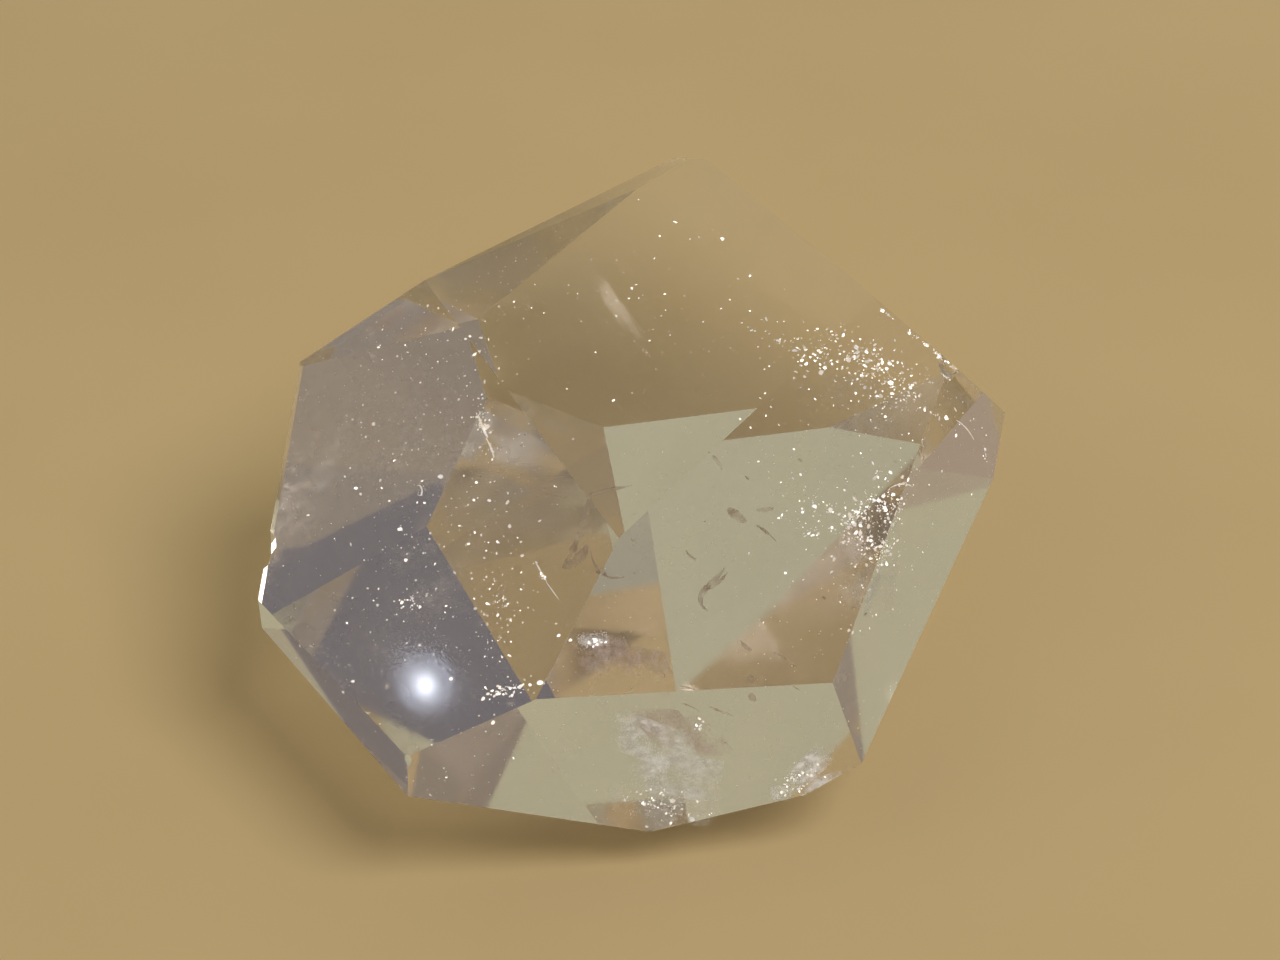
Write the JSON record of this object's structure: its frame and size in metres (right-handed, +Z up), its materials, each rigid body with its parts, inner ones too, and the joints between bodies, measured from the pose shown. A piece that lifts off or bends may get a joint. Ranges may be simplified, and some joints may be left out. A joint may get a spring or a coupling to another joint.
{
  "type": "mica in quartz specimen",
  "caption": "Low freeform lump of clear quartz, ground and polished into flat facets, with mica flakes inside; rests on a small flat spot.",
  "frame": {"origin": "centre of the bounding box at the level of the flat spot that the stone rests on", "axes": "+Z up from the resting flat; +Y away from the viewer of the picture; +X to the right"},
  "size_m": [0.0402, 0.041, 0.0201],
  "materials": {
    "quartz": "clear polished stone, faintly pinkish grey",
    "mica": "pearly silver flakes, a few brown"
  },
  "bodies": {
    "root": {"quartz": "quartz"}
  },
  "joints": []
}
